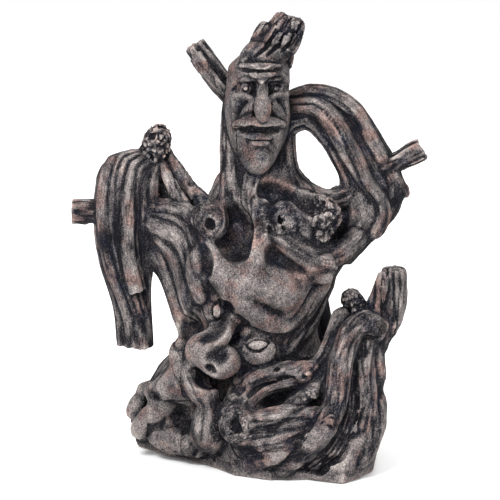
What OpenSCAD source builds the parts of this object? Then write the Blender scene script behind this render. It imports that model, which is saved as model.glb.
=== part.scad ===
// Hand-built clay figure of a tree spirit: a hollow trunk on a plinth, a head with a
// swept-up crest, two arms of twisted root strands, and a skirt of roots.
// Every strand, knot and face piece was rolled or pinched on its own and joined with slip.
// Front is -Y, the figure's height runs along +Z and it stands on Z = 0.

/* [Plinth] */
// Thickness of the flat clay slab that the figure stands on
plinth_h = 8; // [6:1:10]
// Size of the plinth's outline against the drawn one
plinth_scale = 1; // [0.96:0.01:1.04]

/* [Firing cavity] */
// Radius of the cavity where it opens in the underside
cavity_foot_r = 44; // [32:1:45]
// Radius of the cavity at its closed top
cavity_top_r = 14; // [10:1:15]
// Height of the cavity above the table
cavity_h = 190; // [150:1:195]

/* [Strands] */
// Thickness of every rolled strand against the drawn one
strand_gain = 1; // [0.92:0.01:1.08]
// Number of sides on a strand
strand_sides = 8; // [8:2:12]
// Number of rings that a strand aims for
strand_rings = 12; // [10:1:16]

/* [Head] */
// Half of the head's width across the cheeks
head_half_w = 25; // [23:0.5:27]
// Half of the head's depth from nose root to nape
head_half_d = 24; // [21:0.5:26]
// Radius of the rolled beads that make the two ringed eyes
eye_bead_r = 6.5; // [5:0.5:7.5]

/* [Hidden] */
// Moves the figure so that the middle of its box stands on the origin
centre = [6.5, -1, 0];
// A rounded end reaches this many radii past a strand's last point
round_end = 0.8;
// A cut or torn end is flatter
cut_end = 0.3;
mass_sides = 20;
cavity_axis = [6, 8];
overlap = 0.5;

dark = [0.17, 0.16, 0.17];
slate = [0.26, 0.25, 0.27];
ash = [0.40, 0.37, 0.36];
rust = [0.42, 0.32, 0.29];

// Plinth outline, seen from above
foot = [[-95, 36], [-74, 6], [-50, -12], [-34, -30], [-18, -54], [10, -68], [40, -66],
        [68, -80], [82, -64], [94, -40], [97, 0], [94, 32], [76, 60], [30, 78], [-30, 82],
        [-74, 70], [-94, 56]];

// Mound levels: [z, size against the plinth's outline, shift in x, shift in y]
mound_levels = [[plinth_h - 1, 0.985, 0, 0], [20, 1, 0, 0], [36, 0.95, 0, 1],
                [52, 0.84, -2, 2], [68, 0.68, -4, 4], [84, 0.56, -4, 4]];

// Each mass is a stack of level ovals: [x, y, z, half width, half depth]
trunk_levels = [[-3, 5, 78, 56, 45], [-2, 4, 92, 54, 43], [-2, 3, 115, 52, 41],
                [2, 2, 140, 53, 40], [5, 1, 154, 49, 37]];
torso_levels = [[6, 0, 150, 42, 34], [10, -1, 168, 49, 37], [14, -3, 188, 49, 36],
                [16, -3, 204, 42, 33], [11, -2, 218, 32, 27], [5, 0, 234, 25, 21],
                [1, 4, 250, 24, 18], [0, 6, 270, 22, 15]];
head_levels = [[2, -23, 241, 6, 7], [2, -18, 246, 12, 13], [2, -12, 255, 17, 18],
               [2, -9, 268, 22, 22], [2, -8, 282, 25, 24], [1, -8, 298, 25, 24],
               [2, -8, 314, 25, 24], [2, -7, 326, 23, 22], [4, -5, 335, 17, 17],
               [6, -3, 341, 8, 9]];

// Each strand's route is [x, y, z, radius] at the places where it bends or swells
lobe_path = [[8, -24, 196, 40], [8, -32, 176, 50], [8, -38, 156, 46], [12, -41, 138, 32],
             [17, -41, 124, 17]];
crest_left_path = [[-9, -8, 320, 9], [-1, -7, 331, 8.5], [6, -6, 342, 6.5], [10, -6, 351, 5]];
crest_mid_path = [[2, -6, 326, 10], [11, -6, 338, 10], [19, -5, 349, 8.5], [24, -5, 357, 6]];
crest_right_path = [[16, -2, 322, 10], [25, -2, 333, 9.5], [31, 0, 343, 8], [36, 1, 352, 5.5]];
crest_back_path = [[4, 8, 320, 11], [12, 9, 334, 10], [21, 9, 345, 8], [28, 9, 353, 5.5]];
brow_path = [[-13, -26, 326, 3.5], [-6, -31, 328, 4.5], [4, -33, 323, 6], [14, -31, 327, 4.5],
             [21, -26, 325, 3.5]];
nose_path = [[5, -30, 317, 4], [5, -34, 307, 5.5], [5, -39, 297, 7], [5, -40, 290, 6.5]];
moustache_path = [[-18, -20, 275, 2.5], [-9, -30, 282, 4.5], [3, -34, 284, 5],
                  [14, -30, 282, 4.5], [23, -20, 276, 2.5]];
upper_lip_path = [[-6, -30, 273, 2], [3, -33, 275, 3], [12, -30, 273, 2]];
lower_lip_path = [[-5, -29, 266, 2], [3, -32, 265, 3], [11, -29, 266, 2]];
neck_paths = [
    [[-18, 8, 300, 3], [-22, 5, 288, 5], [-22, 0, 264, 6], [-22, -8, 242, 6.5],
     [-22, -18, 224, 8], [-22, -26, 204, 8.5], [-25, -32, 184, 9]],
    [[20, 6, 276, 5], [25, 4, 262, 6], [26, 0, 246, 6], [29, -4, 232, 7],
     [37, -8, 218, 8]]];
neck_ridge_path = [[2, -6, 246, 8], [-3, -14, 231, 9], [-6, -24, 213, 9], [-2, -33, 195, 8]];
rear_branch_path = [[-6, 12, 281, 8], [-24, 14, 300, 9], [-37, 16, 317, 9.5],
                    [-48, 18, 333, 9]];

right_arm_paths = [
    [[24, 14, 291, 5], [42, 12, 298, 6.5], [62, 8, 295, 7], [79, 4, 284, 7], [91, 2, 264, 7],
     [101, 2, 246, 7], [112, 0, 226, 7], [108, -4, 208, 7], [93, -8, 192, 7.5],
     [72, -14, 170, 8]],
    [[24, 13, 288, 6], [50, 12, 291, 7], [69, 8, 279, 7], [82, 4, 259, 7], [92, 1, 238, 7],
     [103, -1, 216, 6.5], [105, -3, 202, 6]],
    [[22, 8, 284, 6], [46, 1, 288, 7], [61, -3, 276, 8], [70, -5, 260, 8.5],
     [78, -7, 244, 8.5], [86, -9, 229, 7.5], [96, -11, 217, 6.5], [101, -12, 204, 6],
     [96, -13, 190, 6]],
    [[20, 6, 269, 8], [40, 4, 277, 7.5], [52, 0, 267, 6], [61, -2, 254, 5.5],
     [68, -4, 240, 5.5], [73, -6, 227, 5.5]],
    [[30, 20, 290, 6], [54, 21, 294, 7], [74, 17, 286, 7], [88, 13, 271, 7],
     [98, 11, 254, 7], [108, 9, 234, 7], [104, 6, 210, 7], [86, 4, 186, 8]]];

elbow_bulge_path = [[80, -4, 226, 7], [84, -7, 214, 11], [85, -8, 202, 12], [80, -8, 190, 9]];
elbow_web_path = [[70, 3, 213, 6], [74, 2, 200, 9], [74, 1, 184, 9]];
upper_arm_path = [[26, 2, 226, 8], [44, -3, 218, 8], [60, -6, 214, 8], [74, -7, 218, 7],
                  [83, -6, 226, 6]];
under_arm_path = [[84, 2, 186, 8], [64, 0, 166, 9], [50, -4, 145, 11], [38, -14, 122, 11],
                  [24, -26, 102, 9]];
shoulder_burl_path = [[26, -18, 208, 12], [38, -26, 209, 14], [50, -34, 207, 16],
                      [57, -40, 203, 13]];
collar_strap_path = [[4, -34, 196, 6], [19, -40, 190, 6.5], [34, -41, 180, 7],
                     [50, -37, 173, 8], [64, -28, 174, 9], [78, -18, 184, 9]];
chest_knot_paths = [
    [[18, -28, 205, 8], [19, -36, 204, 10], [20, -41, 203, 8]],
    [[-34, -20, 201, 8], [-37, -28, 202, 9], [-39, -34, 203, 7]]];
elbow_stub_path = [[104, 2, 239, 8], [115, 1, 245, 8], [124, 0, 250, 9], [130, 0, 253, 9]];
elbow_spur_path = [[112, 0, 228, 4.5], [117, 0, 222, 4.5], [119, 0, 218, 3.5]];

left_arm_paths = [
    [[-84, -8, 207, 7], [-72, -14, 208, 7.5], [-57, -20, 205, 8.5], [-47, -25, 194, 8.5],
     [-44, -29, 180, 8], [-42, -32, 166, 7]],
    [[-84, -10, 198, 7], [-70, -17, 193, 8], [-58, -22, 187, 8], [-51, -26, 174, 8],
     [-48, -29, 159, 8], [-43, -32, 145, 7]],
    [[-84, -4, 184, 7], [-76, -8, 168, 8], [-68, -11, 148, 8.5], [-60, -14, 126, 9],
     [-52, -17, 105, 9], [-50, -18, 88, 8]],
    [[-82, -8, 193, 6.5], [-68, -16, 180, 7.5], [-58, -22, 162, 8], [-52, -27, 138, 8],
     [-44, -32, 119, 8]]];
burl_stem_paths = [
    [[-78, 0, 254, 8], [-66, 0, 241, 6.5], [-53, -3, 224, 6], [-42, -8, 213, 7],
     [-34, -14, 203, 7]],
    [[-78, -6, 246, 5.5], [-82, -8, 230, 5.5], [-84, -8, 212, 6]],
    [[-76, -8, 243, 5], [-67, -12, 227, 5], [-58, -16, 213, 5]]];
arm_web_path = [[-76, 4, 242, 7], [-68, 4, 222, 14], [-64, 2, 202, 20], [-62, 0, 178, 20],
                [-56, 0, 152, 18]];
top_burl_path = [[-79, -1, 244, 9], [-80, -2, 253, 12], [-78, -2, 263, 11], [-76, -2, 268, 7]];

drape_paths = [
    [[-106, 5, 243, 6], [-118, 2, 236, 6.5], [-122, 0, 220, 7], [-123, -1, 200, 7],
     [-121, -2, 176, 7], [-116, -2, 154, 7], [-109, -2, 132, 7], [-106, -2, 112, 7],
     [-105, -2, 96, 7]],
    [[-100, -1, 246, 6.5], [-113, -5, 244, 7], [-119, -8, 228, 7], [-120, -9, 204, 7],
     [-118, -9, 180, 7], [-113, -9, 158, 7], [-105, -8, 136, 7], [-99, -7, 114, 7],
     [-97, -7, 96, 7]],
    [[-92, -3, 248, 6.5], [-104, -8, 246, 7], [-109, -12, 230, 7], [-110, -13, 206, 7],
     [-109, -13, 182, 7], [-105, -12, 160, 7], [-98, -11, 138, 7], [-92, -9, 116, 7],
     [-90, -8, 96, 7]],
    [[-86, -5, 246, 6], [-96, -11, 241, 7], [-100, -14, 224, 7], [-101, -16, 204, 7],
     [-101, -17, 182, 7], [-99, -17, 162, 7], [-95, -16, 144, 7]],
    [[-82, -4, 240, 5.5], [-90, -9, 232, 6.5], [-93, -10, 214, 7], [-93, -10, 192, 7],
     [-91, -9, 170, 6.5], [-90, -7, 150, 6], [-90, -5, 120, 6.5], [-89, -4, 96, 6.5]],
    [[-90, 8, 240, 7], [-105, 10, 242, 8], [-114, 10, 224, 8], [-116, 9, 196, 8],
     [-112, 8, 164, 8], [-104, 6, 132, 8], [-97, 4, 97, 7]]];
side_stub_path = [[-112, 2, 203, 9], [-126, 2, 203, 10], [-137, 2, 203, 10.5],
                  [-144, 2, 203, 10]];

trunk_nose_path = [[-16, -36, 128, 7], [-26, -43, 119, 8], [-36, -48, 108, 9],
                   [-41, -48, 101, 8]];
trunk_nostril_points = [[-45, -43, 95, 6.5], [-27, -48, 91, 7]];
trunk_eye_points = [[-31, -36, 130, 8], [3, -40, 102, 9]];

left_root_paths = [
    [[-56, -12, 88, 8], [-65, -8, 70, 8], [-72, -3, 53, 8], [-71, -3, 38, 8],
     [-83, 12, 24, 7], [-91, 34, 13, 6]],
    [[-54, 4, 84, 7], [-63, 10, 70, 8], [-74, 20, 56, 8.5], [-86, 30, 42, 8.5],
     [-93, 42, 26, 8.5]],
    [[-50, -22, 90, 7], [-46, -34, 74, 7], [-38, -44, 58, 7], [-36, -38, 38, 8],
     [-44, -22, 18, 8]]];

root_paths = [
    [[2, -56, 13, 9], [38, -60, 19, 10], [57, -60, 44, 10], [65, -56, 72, 8.5],
     [66, -50, 95, 8], [73, -45, 112, 8], [87, -38, 122, 8], [97, -34, 117, 7]],
    [[58, -66, 10, 8], [74, -62, 12, 8], [88, -48, 26, 8], [90, -42, 48, 8],
     [90, -40, 70, 8], [88, -36, 88, 7.5], [86, -32, 104, 7]],
    [[48, -66, 14, 8], [66, -62, 32, 8], [76, -54, 60, 8], [77, -47, 86, 7.5],
     [80, -42, 106, 6.5]],
    [[-8, -48, 58, 7], [-2, -49, 66, 6.5], [11, -48, 73, 6.5], [34, -46, 78, 7],
     [50, -42, 89, 7], [59, -36, 103, 7], [67, -28, 124, 7]],
    [[22, -52, 50, 6.5], [34, -52, 60, 6.5], [47, -51, 71, 7], [60, -46, 83, 6.5],
     [69, -40, 99, 6.5], [76, -34, 117, 6.5]],
    [[-8, -56, 44, 7.5], [16, -60, 46, 7.5], [38, -59, 50, 7], [56, -52, 56, 6.5]],
    [[-8, -58, 26, 9], [14, -61, 31, 9], [34, -60, 36, 8.5], [52, -58, 42, 7]]];

tall_stub_path = [[80, -22, 62, 12], [92, -21, 88, 13], [103, -18, 114, 13],
                  [109, -16, 138, 12], [110, -15, 159, 10.5]];
tall_rib_path = [[84, -30, 104, 7], [91, -28, 124, 7], [98, -25, 142, 6.5],
                 [102, -22, 157, 5.5]];
root_knot_paths = [
    [[88, -24, 112, 8], [82, -22, 126, 9], [76, -20, 136, 9]],
    [[56, -40, 66, 6], [47, -50, 66, 8], [44, -56, 66, 6]]];
knot_collar_path = [[-12, -44, 44, 12], [-15, -53, 42, 12.5], [-16, -58, 41, 10]];

back_paths = [
    [[-24, 12, 226, 8], [-38, 24, 190, 8.5], [-45, 33, 150, 8.5], [-50, 38, 105, 9],
     [-62, 50, 60, 9], [-70, 60, 16, 9]],
    [[-6, 17, 232, 7.5], [-16, 31, 194, 8.5], [-21, 39, 150, 9], [-22, 44, 105, 9],
     [-28, 60, 60, 9.5], [-30, 70, 16, 9]],
    [[12, 16, 232, 7.5], [9, 31, 192, 8.5], [4, 40, 148, 9], [4, 45, 104, 9],
     [8, 60, 58, 9.5], [12, 68, 16, 9]],
    [[28, 10, 226, 8], [36, 25, 194, 8.5], [30, 36, 152, 9], [30, 42, 108, 9],
     [42, 54, 60, 9.5], [52, 60, 16, 9]],
    [[62, 6, 200, 7], [58, 14, 168, 8], [50, 22, 130, 8.5], [60, 28, 82, 9],
     [76, 30, 42, 9], [84, 26, 16, 8]]];

function item(list, i) = list[max(0, min(len(list) - 1, i))];
function unit(v) = v / norm(v);
function square_to(v, axis) = unit(v - (v * axis) * axis);
function place(p) = [p.x, p.y, p.z];

// A smooth curve through the points a, b, c, d, between b and c
function curve(a, b, c, d, t) =
    0.5 * (2 * b + (c - a) * t + (2 * a - 5 * b + 4 * c - d) * t * t
           + (3 * b - a - 3 * c + d) * t * t * t);
function smooth(p, per) =
    [for (i = [0:len(p) - 2]) for (k = [0:per - 1])
         curve(item(p, i - 1), p[i], p[i + 1], item(p, i + 2), k / per),
     p[len(p) - 1]];
function headings(c) = [for (i = [0:len(c) - 1]) unit(item(c, i + 1) - item(c, i - 1))];
// Carries one sideways direction along the route without twisting it
function carried(t, first) =
    [for (i = 0, n = square_to(first, t[0]); i < len(t);
          i = i + 1, n = i < len(t) ? square_to(n, t[i]) : n) n];
function oval(c, across, up, ra, ru, sides) =
    [for (j = [0:sides - 1])
        c + ra * cos(360 * j / sides) * across + ru * sin(360 * j / sides) * up];

// A closed skin over rings of equal count, drawn to a point at each end
module skin(rings, first, last) {
    n = len(rings[0]);
    m = len(rings);
    polyhedron(
        points = concat([first], [for (r = rings) each r], [last]),
        faces = concat(
            [for (j = [0:n - 1]) [0, 1 + j, 1 + (j + 1) % n]],
            [for (i = [0:m - 2]) for (j = [0:n - 1])
                 let (a = 1 + i * n + j, b = 1 + i * n + (j + 1) % n) each
                     [[a, a + n, b + n], [a, b + n, b]]],
            [for (j = [0:n - 1])
                 [1 + m * n, 1 + (m - 1) * n + (j + 1) % n, 1 + (m - 1) * n + j]]));
}

// A rolled strand. wide turns it into a ribbon whose thickness is flat times its width
module limb(route, tip = round_end, wide = undef, flat = 1, sides = strand_sides) {
    per = max(2, round(strand_rings / (len(route) - 1)));
    p = smooth(route, per);
    c = [for (q = p) place(q)];
    t = headings(c);
    first = abs(t[0].z) < 0.8 ? [0, 0, 1] : [0, -1, 0];
    across = is_undef(wide) ? carried(t, first) : [for (u = t) square_to(wide, u)];
    end = len(p) - 1;
    ra = [for (q = p) q[3] * strand_gain];
    body = [for (i = [0:end])
                oval(c[i], across[i], cross(t[i], across[i]), ra[i], ra[i] * flat, sides)];
    near = oval(c[0] - t[0] * ra[0] * flat * round_end * 0.6, across[0],
                cross(t[0], across[0]), ra[0] * 0.75, ra[0] * flat * 0.75, sides);
    far = oval(c[end] + t[end] * ra[end] * flat * tip * 0.6, across[end],
               cross(t[end], across[end]), ra[end] * 0.75, ra[end] * flat * 0.75, sides);
    skin(concat([near], body, [far]), c[0] - t[0] * ra[0] * flat * round_end,
         c[end] + t[end] * ra[end] * flat * tip);
}

// A solid mass built up from level ovals
module mass(levels, per = 2) {
    p = smooth(levels, per);
    rings = [for (q = p) oval(place(q), [1, 0, 0], [0, 1, 0], q[3], q[4], mass_sides)];
    cap = 2;
    skin(rings, place(p[0]) - [0, 0, cap], place(p[len(p) - 1]) + [0, 0, cap]);
}

module pellet(p) {
    limb([[p.x, p.y + p[3] * 0.5, p.z, p[3] * 0.85], [p.x, p.y, p.z, p[3]],
          [p.x, p.y - p[3] * 0.4, p.z, p[3] * 0.8]], sides = 10);
}

// The cavity that a hand-built piece of this size needs to fire without bursting
module firing_cavity() {
    translate([cavity_axis.x, cavity_axis.y, -overlap])
        cylinder(h = cavity_h + overlap, r1 = cavity_foot_r, r2 = cavity_top_r, $fn = 64);
}

module base_plinth() {
    color(dark) translate(centre) difference() {
        linear_extrude(plinth_h) scale(plinth_scale) polygon(foot);
        firing_cavity();
    }
}

module base_mound() {
    outline = smooth(concat(foot, [foot[0]]), 2);
    ring = [for (i = [0:len(outline) - 2]) outline[i]];
    rings = [for (m = smooth(mound_levels, 1))
                 [for (q = ring) [q.x * m[1] + m[2], q.y * m[1] + m[3], m[0]]]];
    top = mound_levels[len(mound_levels) - 1];
    color(slate) translate(centre) difference() {
        skin(rings, [0, 0, plinth_h - 1], [top[2], top[3], top[0] + 3]);
        firing_cavity();
    }
}

module trunk_core() {
    color(slate) translate(centre) difference() {
        mass(trunk_levels);
        firing_cavity();
    }
}

module torso() {
    color(slate) translate(centre) difference() {
        mass(torso_levels);
        firing_cavity();
    }
}
module torso_lobe() {
    color(rust) translate(centre) limb(lobe_path, wide = [1, 0, 0], flat = 0.36, sides = 16);
}

module head() {
    gain = [1, 1, 1, head_half_w / 25, head_half_d / 24];
    color(ash) translate(centre)
        mass([for (h = head_levels) [for (k = [0:4]) h[k] * gain[k]]]);
}
module crest_left() { color(ash) translate(centre) limb(crest_left_path, tip = cut_end); }
module crest_mid() { color(ash) translate(centre) limb(crest_mid_path, tip = cut_end); }
module crest_right() { color(rust) translate(centre) limb(crest_right_path, tip = cut_end); }
module crest_back() { color(slate) translate(centre) limb(crest_back_path, tip = cut_end); }
module brow_fold() { color(ash) translate(centre) limb(brow_path); }
module head_eyes() {
    color(ash) translate(centre) {
        pellet([-8, -29, 310, eye_bead_r]);
        pellet([17, -28, 310, eye_bead_r]);
    }
}
module nose() { color(rust) translate(centre) limb(nose_path); }
module moustache() { color(ash) translate(centre) limb(moustache_path); }
module lips() {
    color(rust) translate(centre) {
        limb(upper_lip_path);
        limb(lower_lip_path);
    }
}

module neck_strands() { color(slate) translate(centre) for (path = neck_paths) limb(path); }
module neck_ridge() { color(ash) translate(centre) limb(neck_ridge_path); }
module rear_branch() { color(slate) translate(centre) limb(rear_branch_path, tip = cut_end); }

module right_arm(path) { color(ash) translate(centre) limb(path); }
module elbow_bulge() {
    color(slate) translate(centre) {
        limb(elbow_bulge_path);
        limb(elbow_web_path);
    }
}
module upper_arm() { color(slate) translate(centre) limb(upper_arm_path); }
module under_arm() { color(dark) translate(centre) limb(under_arm_path); }
module shoulder_burl() {
    color(ash) translate(centre) limb(shoulder_burl_path, tip = cut_end, sides = 12);
}
module collar_strap() { color(rust) translate(centre) limb(collar_strap_path); }
module chest_knots() {
    color(ash) translate(centre) for (path = chest_knot_paths) limb(path, sides = 12);
}
module elbow_stub() {
    color(slate) translate(centre) {
        limb(elbow_stub_path, tip = cut_end);
        limb(elbow_spur_path);
    }
}

module left_arm(path) { color(rust) translate(centre) limb(path); }
module burl_stems() {
    color(slate) translate(centre) for (path = burl_stem_paths) limb(path);
}
module arm_web() {
    color(dark) translate(centre)
        limb(arm_web_path, wide = [1, 0, 0], flat = 0.45, sides = 10);
}
module top_burl() { color(ash) translate(centre) limb(top_burl_path, sides = 12); }
module drape(path) { color(ash) translate(centre) limb(path, tip = cut_end); }
module side_stub() { color(slate) translate(centre) limb(side_stub_path, tip = cut_end); }

module trunk_nose() {
    color(rust) translate(centre) {
        limb(trunk_nose_path);
        for (p = trunk_nostril_points) pellet(p);
    }
}
module trunk_eyes() {
    color(ash) translate(centre) for (p = trunk_eye_points) pellet(p);
}

module left_root(path) { color(slate) translate(centre) limb(path); }
module root(path) { color(ash) translate(centre) limb(path); }
module tall_stub() {
    color(slate) translate(centre) {
        limb(tall_stub_path, tip = cut_end, sides = 10);
        limb(tall_rib_path, tip = cut_end);
    }
}
module root_knots() {
    color(ash) translate(centre) for (path = root_knot_paths) limb(path);
}
module knot_collar() { color(ash) translate(centre) limb(knot_collar_path, sides = 12); }
module back_strands() {
    color(slate) translate(centre) for (path = back_paths) limb(path);
}

base_plinth();
base_mound();
trunk_core();
torso();
torso_lobe();
head();
crest_left();
crest_mid();
crest_right();
crest_back();
brow_fold();
head_eyes();
nose();
moustache();
lips();
neck_strands();
neck_ridge();
rear_branch();
elbow_bulge();
upper_arm();
under_arm();
shoulder_burl();
collar_strap();
chest_knots();
elbow_stub();
burl_stems();
arm_web();
top_burl();
side_stub();
trunk_nose();
trunk_eyes();
tall_stub();
root_knots();
knot_collar();
back_strands();
for (i = [1:len(right_arm_paths)])
    right_arm(right_arm_paths[i - 1]);
for (i = [1:len(left_arm_paths)])
    left_arm(left_arm_paths[i - 1]);
for (i = [1:len(drape_paths)])
    drape(drape_paths[i - 1]);
for (i = [1:len(left_root_paths)])
    left_root(left_root_paths[i - 1]);
for (i = [1:len(root_paths)])
    root(root_paths[i - 1]);
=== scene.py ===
"""Clay tree spirit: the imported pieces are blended, carved and weathered into one clay figure.

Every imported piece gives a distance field. The fields are blended into one skin, features are
carved into that skin, and the skin is shared out again, so each piece keeps a closed mesh of its own.
Lengths are in millimetres until a mesh is made.
"""
import math
import bpy
import numpy as np
import openvdb as vdb
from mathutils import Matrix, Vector


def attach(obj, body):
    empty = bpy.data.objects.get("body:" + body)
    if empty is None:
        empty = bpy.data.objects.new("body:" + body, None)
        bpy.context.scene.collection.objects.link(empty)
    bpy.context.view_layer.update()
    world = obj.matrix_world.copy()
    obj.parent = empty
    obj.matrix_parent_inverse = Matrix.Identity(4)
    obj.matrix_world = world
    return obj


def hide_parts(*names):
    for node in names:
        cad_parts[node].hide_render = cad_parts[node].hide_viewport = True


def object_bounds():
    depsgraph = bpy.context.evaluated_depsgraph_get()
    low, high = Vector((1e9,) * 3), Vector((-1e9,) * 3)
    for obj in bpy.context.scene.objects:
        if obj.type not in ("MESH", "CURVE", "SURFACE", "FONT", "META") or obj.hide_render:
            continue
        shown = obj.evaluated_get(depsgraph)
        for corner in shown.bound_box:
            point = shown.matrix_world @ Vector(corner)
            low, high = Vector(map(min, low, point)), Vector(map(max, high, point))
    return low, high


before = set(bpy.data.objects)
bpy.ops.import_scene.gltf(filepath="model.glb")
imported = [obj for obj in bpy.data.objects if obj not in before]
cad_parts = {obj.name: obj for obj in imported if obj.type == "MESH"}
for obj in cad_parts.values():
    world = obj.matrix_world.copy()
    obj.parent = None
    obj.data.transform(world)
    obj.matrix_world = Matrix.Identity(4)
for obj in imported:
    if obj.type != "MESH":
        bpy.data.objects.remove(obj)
CAD_BOX = [list(corner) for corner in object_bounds()]

MM = 0.001
VOXEL = 1.0          # body resolution
FINE_VOXEL = 0.5     # face resolution
MARGIN = 6.0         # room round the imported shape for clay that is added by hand
FAR = 60.0           # distance where nothing is near
REACH = 10.0         # how far round a piece its field is worked out, unless its style says more
BAND = 3.0           # level set band, in voxels
ADAPTIVITY = 0.12    # how far flat stretches of a mesh may be merged
SEAM_HALF = 1.2      # half width of the tucked seam between two pieces
SEAM_TUCK = 0.35     # how far a piece sinks past a seam
SEAM_FADE = 2.5      # tooling marks fade out over this much near a seam
SEAM_CREASE = 0.35   # depth of the crease that is left along a seam
TOOLED = 4.0         # tooling marks are worked into this much on either side of the skin
STROKE_STEP = 1.6    # spacing of the dabs of a hand stroke
STROKE_JUMP = 14.0   # most that a stroke follows a step in the skin, either way
STROKE_EVENINGS = 3  # times that a stroke's depth is evened out along its length
NUDGE = 0.01         # keeps the two ends of a dab apart
RING_DABS = 16       # dabs round an oval stroke
WELDS_PER_MM = 50    # corners nearer than one weld step are joined
MOST_SIDES = 16      # a tube with more sides than this is a modelled mass, not a rolled strand
FEWEST_RINGS = 4     # and one with no more rings than this is a block
ROUND_SPREAD = 0.05  # a ring is round where its radius varies by less than this share
FLAT_END = 0.5       # an end point nearer its ring than this share of the radius is a cut
TEAR_REACH = 1.6     # how far a torn end is worked back, in radii
TEAR_SET = 0.6       # how far a torn face is set back
RIDGE_SPAN = 1.6     # size of the ridges that catch the dry brush
HOLLOW_STEP = 2.0    # resolution at which hollows are looked for
SCRAP_POINTS = 60    # islands of a mesh below this many points,
SCRAP_SHARE = 0.02   # or below this share of its points, are dropped
UPRIGHT_GRAIN = (1, 1, 0.12)  # squeezes a tooled mass so that noise runs up it as fibre
LOOSE_GRAIN = (1, 1, 0.7)     # the same for one that has no tooled lines
STRAND_GRAIN = 0.11  # the same along a strand
STRAND_SHIFT = 40    # keeps the fibres of a piece's strands from matching
PIECE_SHIFT = 31.0   # keeps the fibres of different pieces from matching


# ---------------------------------------------------------------- noise

TABLE = 32
RNG = np.random.default_rng(11)
LATTICE = RNG.random((4, TABLE, TABLE, TABLE)).astype(np.float32)


def noise(points, wave, channel=0):
    """Smooth value noise from -1 to 1 with features about wave long."""
    q = points / wave + 7.3 * channel
    cell = np.floor(q).astype(np.int64)
    f = (q - cell).astype(np.float32)
    f = f * f * (3 - 2 * f)
    a = cell % TABLE
    b = (cell + 1) % TABLE
    t = LATTICE[channel % 4]
    total = 0.0
    for ix, wx in ((a[:, 0], 1 - f[:, 0]), (b[:, 0], f[:, 0])):
        for iy, wy in ((a[:, 1], 1 - f[:, 1]), (b[:, 1], f[:, 1])):
            for iz, wz in ((a[:, 2], 1 - f[:, 2]), (b[:, 2], f[:, 2])):
                total = total + wx * wy * wz * t[ix, iy, iz]
    return 2 * total - 1


def fractal(points, wave, channel=0):
    """Three octaves of noise, from about -1 to 1."""
    total = noise(points, wave, channel)
    total = total + 0.5 * noise(points, wave * 0.5, channel + 1)
    return (total + 0.25 * noise(points, wave * 0.25, channel + 2)) / 1.4


def crumbs(points, wave):
    """Distance to the nearest and to the next jittered cell point, in cells."""
    q = points / wave
    base = np.floor(q).astype(np.int64)
    first = np.full(len(q), 9.0, np.float32)
    second = first.copy()
    for dx in (-1, 0, 1):
        for dy in (-1, 0, 1):
            for dz in (-1, 0, 1):
                cell = base + (dx, dy, dz)
                key = tuple((cell % TABLE).T)
                spot = cell + np.stack([LATTICE[k][key] for k in range(3)], 1)
                d = np.linalg.norm(q - spot, axis=1).astype(np.float32)
                second = np.minimum(second, np.maximum(first, d))
                first = np.minimum(first, d)
    return first, second


def ease(x, low, high):
    t = np.clip((x - low) / (high - low), 0, 1)
    return t * t * (3 - 2 * t)


# ---------------------------------------------------------------- reading the frame

def welded(obj):
    """A node's points in millimetres and its triangles, with split corners joined."""
    mesh = obj.data
    mesh.calc_loop_triangles()
    co = np.empty(len(mesh.vertices) * 3, np.float32)
    mesh.vertices.foreach_get("co", co)
    tri = np.empty(len(mesh.loop_triangles) * 3, np.int32)
    mesh.loop_triangles.foreach_get("vertices", tri)
    co = co.reshape(-1, 3) / MM
    key, first, back = np.unique(np.round(co * WELDS_PER_MM).astype(np.int64), axis=0,
                                 return_index=True, return_inverse=True)
    tri = back.reshape(-1)[tri].reshape(-1, 3)
    keep = (tri[:, 0] != tri[:, 1]) & (tri[:, 1] != tri[:, 2]) & (tri[:, 2] != tri[:, 0])
    return co[first], tri[keep].astype(np.int64)


def islands(count, faces):
    """Labels each point with the island that it belongs to."""
    label = np.arange(count)
    while True:
        low = label[faces].min(1)
        new = label.copy()
        for k in range(faces.shape[1]):
            np.minimum.at(new, faces[:, k], low)
        new = new[new]
        if (new == label).all():
            return label
        label = new


def rings_of(points, tri):
    """Walks a swept tube from one end point to the other: a list of rings, or None if it isn't one."""
    links = [set() for _ in points]
    for a, b, c in tri.tolist():
        links[a] |= {b, c}
        links[b] |= {a, c}
        links[c] |= {a, b}
    degree = np.array([len(s) for s in links])
    if degree.max() > MOST_SIDES:
        return None
    for start in np.argsort(-degree)[:2]:
        seen = {int(start)}
        front = [int(start)]
        levels = [front]
        while front:
            front = sorted({j for i in front for j in links[i]} - seen)
            seen |= set(front)
            if front:
                levels.append(front)
        sizes = {len(level) for level in levels[1:-1]}
        if len(levels) > FEWEST_RINGS and len(levels[-1]) == 1 and sizes == {degree[start]}:
            return [points[level] for level in levels]
    return None


def unit(v):
    return v / np.linalg.norm(v, axis=-1, keepdims=True)


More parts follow.
